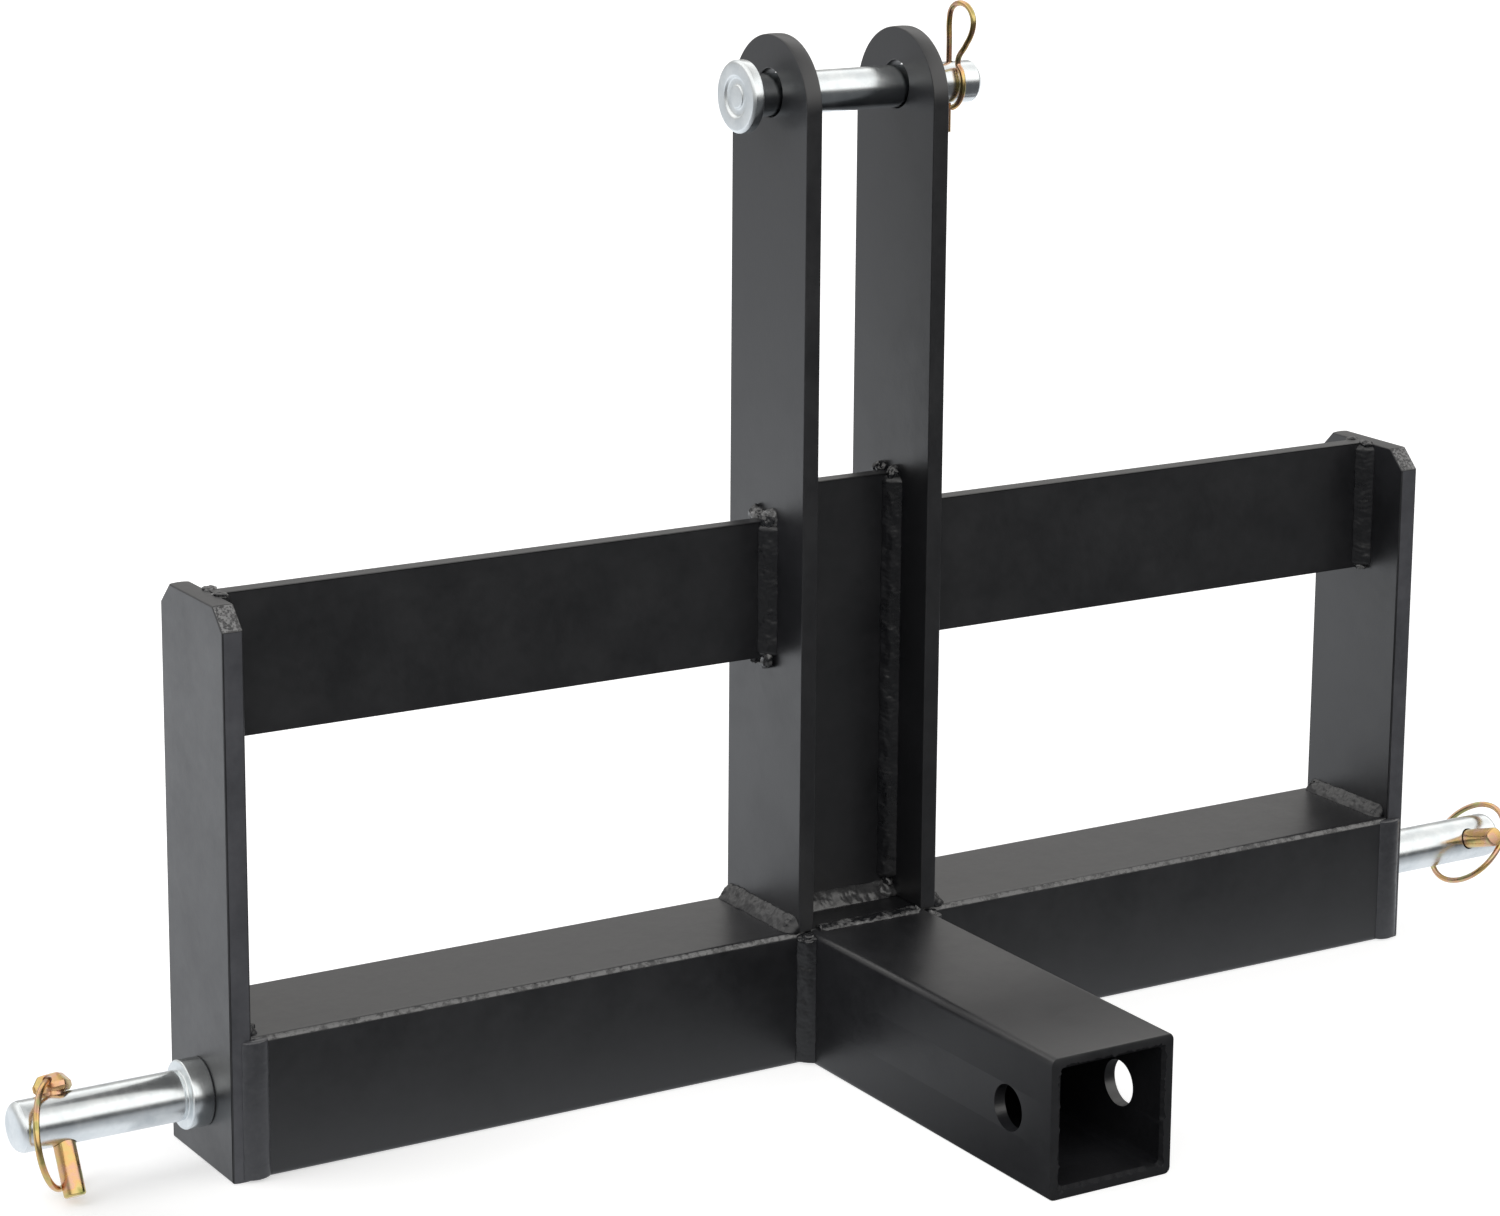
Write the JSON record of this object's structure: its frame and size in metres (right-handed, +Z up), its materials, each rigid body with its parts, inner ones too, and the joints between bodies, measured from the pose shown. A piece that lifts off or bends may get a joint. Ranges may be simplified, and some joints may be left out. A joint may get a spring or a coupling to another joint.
{
  "type": "three point receiver hitch",
  "caption": "Tractor three point hitch frame with a square receiver tube, lower link pins on its ends, and a mast for the top link.",
  "frame": {"origin": "middle of the crossbar's underside, on the floor", "axes": "+X along the crossbar, -Y out of the receiver's mouth, +Z up the mast"},
  "size_m": [0.806, 0.2536, 0.4793],
  "materials": {
    "black_coat": "satin black powder coat over steel",
    "white_zinc": "bright zinc plate on steel",
    "yellow_zinc": "yellow chromated zinc plate on steel"
  },
  "bodies": {
    "frame": {"crossbar_tube": "black_coat", "receiver_tube": "black_coat", "side_plate_left": "black_coat", "side_plate_right": "black_coat", "mast_plate_left": "black_coat", "mast_plate_right": "black_coat", "upper_bar_left": "black_coat", "upper_bar_right": "black_coat", "centre_web": "black_coat", "tail_weld_left": "black_coat", "tail_weld_right": "black_coat", "weld_receiver_top": "black_coat", "weld_web_foot_front": "black_coat", "weld_web_foot_rear": "black_coat", "weld_bar_mast_left_front": "black_coat", "weld_bar_plate_left_front": "black_coat", "weld_web_mast_left_front": "black_coat", "weld_bar_mast_left_rear": "black_coat", "weld_bar_plate_left_rear": "black_coat", "weld_web_mast_left_rear": "black_coat", "weld_mast_foot_left": "black_coat", "weld_crossbar_plate_left": "black_coat", "weld_receiver_left": "black_coat", "weld_plate_seam_left": "black_coat", "weld_bar_mast_right_front": "black_coat", "weld_bar_plate_right_front": "black_coat", "weld_web_mast_right_front": "black_coat", "weld_bar_mast_right_rear": "black_coat", "weld_bar_plate_right_rear": "black_coat", "weld_web_mast_right_rear": "black_coat", "weld_mast_foot_right": "black_coat", "weld_crossbar_plate_right": "black_coat", "weld_receiver_right": "black_coat", "weld_plate_seam_right": "black_coat", "lower_link_pin_left": "white_zinc", "lower_link_pin_right": "white_zinc"},
    "lynch_left": {"lynch_pin_left": "yellow_zinc"},
    "ring_left": {"lynch_ring_left": "yellow_zinc"},
    "lynch_right": {"lynch_pin_right": "yellow_zinc"},
    "ring_right": {"lynch_ring_right": "yellow_zinc"},
    "top_pin": {"top_link_pin": "white_zinc"},
    "clip": {"hairpin_clip": "yellow_zinc"}
  },
  "joints": [
    {"name": "lynch_draw_left", "type": "slide", "parent": "frame", "child": "lynch_left", "axis": [0, 0.4848, 0.8746], "range_m": [0, 0.048]},
    {"name": "ring_swing_left", "type": "hinge", "parent": "lynch_left", "child": "ring_left", "pos_m": [-0.382, 0.008, 0.04618], "axis": [0.6157, 0.6892, -0.382], "range_deg": [0, 170]},
    {"name": "lynch_draw_right", "type": "slide", "parent": "frame", "child": "lynch_right", "axis": [0, 0.9505, -0.3107], "range_m": [0, 0.048]},
    {"name": "ring_swing_right", "type": "hinge", "parent": "lynch_right", "child": "ring_right", "pos_m": [0.382, 0.01568, 0.02662], "axis": [0.6293, 0.2414, 0.7387], "range_deg": [0, 170]},
    {"name": "top_pin_slide", "type": "slide", "parent": "frame", "child": "top_pin", "axis": [1, 0, 0], "range_m": [-0.019, 0.012]},
    {"name": "clip_draw", "type": "slide", "parent": "top_pin", "child": "clip", "axis": [0, 0, 1], "range_m": [0, 0.034], "deforming": ["hairpin_clip"]}
  ],
  "couplings": [
    {"joint": "ring_swing_left", "follows": "lynch_draw_left", "rad_per_m": 61.8},
    {"joint": "ring_swing_right", "follows": "lynch_draw_right", "rad_per_m": 61.8}
  ]
}
